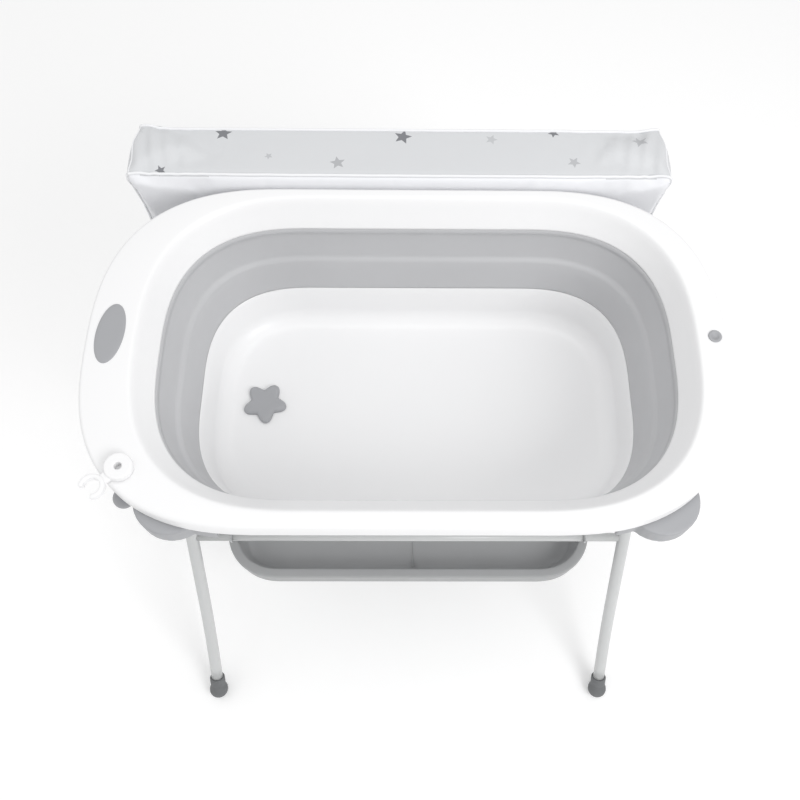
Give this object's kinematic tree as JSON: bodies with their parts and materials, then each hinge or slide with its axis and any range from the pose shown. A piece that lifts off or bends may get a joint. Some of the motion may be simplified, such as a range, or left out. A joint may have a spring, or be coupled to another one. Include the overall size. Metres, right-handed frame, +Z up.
{
  "type": "changing table",
  "caption": "Folding baby bath on crossed legs, with a soft collapsible wall, storage tray, drain plug, hose holder and a changing pad that swings over the bath.",
  "frame": {"origin": "on the floor, in the middle of the four feet", "axes": "+X to the right along the bath, +Y to the back where the pad hangs, +Z up"},
  "size_m": [0.8266, 0.6698, 0.9139],
  "materials": {
    "white_plastic": "smooth moulded, light gloss",
    "soft_wall": "satin thermoplastic rubber",
    "grey_plastic": "fine matt moulding",
    "tray_plastic": "fine matt moulding",
    "painted_tube": "satin powder coat",
    "steel": "zinc plated",
    "foot_rubber": "matt",
    "pad_fabric": "coated wipe-clean cloth with a small printed star pattern",
    "pad_panel": "matt"
  },
  "bodies": {
    "stand": {"front_left_leg": "painted_tube", "front_left_foot": "foot_rubber", "front_left_cap": "grey_plastic", "front_right_leg": "painted_tube", "front_right_foot": "foot_rubber", "front_right_cap": "grey_plastic", "front_lower_tube": "painted_tube", "front_upper_tube": "painted_tube", "pivot_left_bolt": "steel", "pivot_left_nut": "steel", "pivot_left_spacer": "grey_plastic", "pivot_right_bolt": "steel", "pivot_right_nut": "steel", "pivot_right_spacer": "grey_plastic", "arm_left_bolt": "steel", "arm_left_nut": "steel", "arm_left_spacer": "grey_plastic", "arm_right_bolt": "steel", "arm_right_nut": "steel", "arm_right_spacer": "grey_plastic"},
    "rear_legs": {"rear_left_leg": "painted_tube", "rear_left_foot": "foot_rubber", "rear_left_cap": "grey_plastic", "rear_right_leg": "painted_tube", "rear_right_foot": "foot_rubber", "rear_right_cap": "grey_plastic", "rear_lower_tube": "painted_tube", "rear_upper_tube": "painted_tube"},
    "bath": {"bath_rim": "white_plastic", "bath_wall": "soft_wall", "rim_inset": "grey_plastic", "rim_plug": "grey_plastic", "front_left_bracket": "grey_plastic", "front_right_bracket": "grey_plastic", "rear_left_bracket": "grey_plastic", "rear_right_bracket": "grey_plastic"},
    "basin": {"bath_base": "white_plastic", "drain_fitting": "grey_plastic"},
    "plug": {"drain_plug": "grey_plastic"},
    "holder": {"hose_holder": "white_plastic"},
    "tray": {"storage_tray": "tray_plastic", "tray_front_left_hanger": "steel", "tray_front_right_hanger": "steel", "tray_rear_left_hanger": "steel", "tray_rear_right_hanger": "steel"},
    "swing_arms": {"pad_left_arm": "white_plastic", "pad_right_arm": "white_plastic"},
    "pad": {"pad_board": "pad_panel", "pad_cushion": "pad_fabric", "pad_left_pin": "steel", "pad_right_pin": "steel"}
  },
  "joints": [
    {"name": "frame_fold", "type": "hinge", "parent": "stand", "child": "rear_legs", "pos_m": [0, 0, 0.516], "axis": [-1, 0, 0], "range_deg": [0, 52]},
    {"name": "bath_lift", "type": "slide", "parent": "stand", "child": "bath", "axis": [0, 0, 1], "range_m": [0, 0.23]},
    {"name": "wall_fold", "type": "slide", "parent": "bath", "child": "basin", "axis": [0, 0, 1], "range_m": [0, 0.1], "deforming": ["bath_wall"]},
    {"name": "plug_lift", "type": "slide", "parent": "basin", "child": "plug", "axis": [0, 0, 1], "range_m": [0, 0.04]},
    {"name": "holder_swivel", "type": "hinge", "parent": "bath", "child": "holder", "pos_m": [-0.331, -0.166, 0.9], "axis": [0, 0, 1], "range_deg": [-30, 30]},
    {"name": "tray_lift", "type": "slide", "parent": "stand", "child": "tray", "axis": [0, 0, 1], "range_m": [0, 0.02]},
    {"name": "pad_swing", "type": "hinge", "parent": "stand", "child": "swing_arms", "pos_m": [0, 0.14993, 0.77004], "axis": [-1, 0, 0], "range_deg": [-178.6, 0]},
    {"name": "pad_tilt", "type": "hinge", "parent": "swing_arms", "child": "pad", "pos_m": [0, 0.252, 0.62252], "axis": [-1, 0, 0], "range_deg": [0, 88.62]}
  ],
  "couplings": [
    {"joint": "bath_lift", "follows": "frame_fold", "m_per_rad": 0.25},
    {"joint": "pad_tilt", "follows": "pad_swing", "ratio": -0.49613}
  ]
}
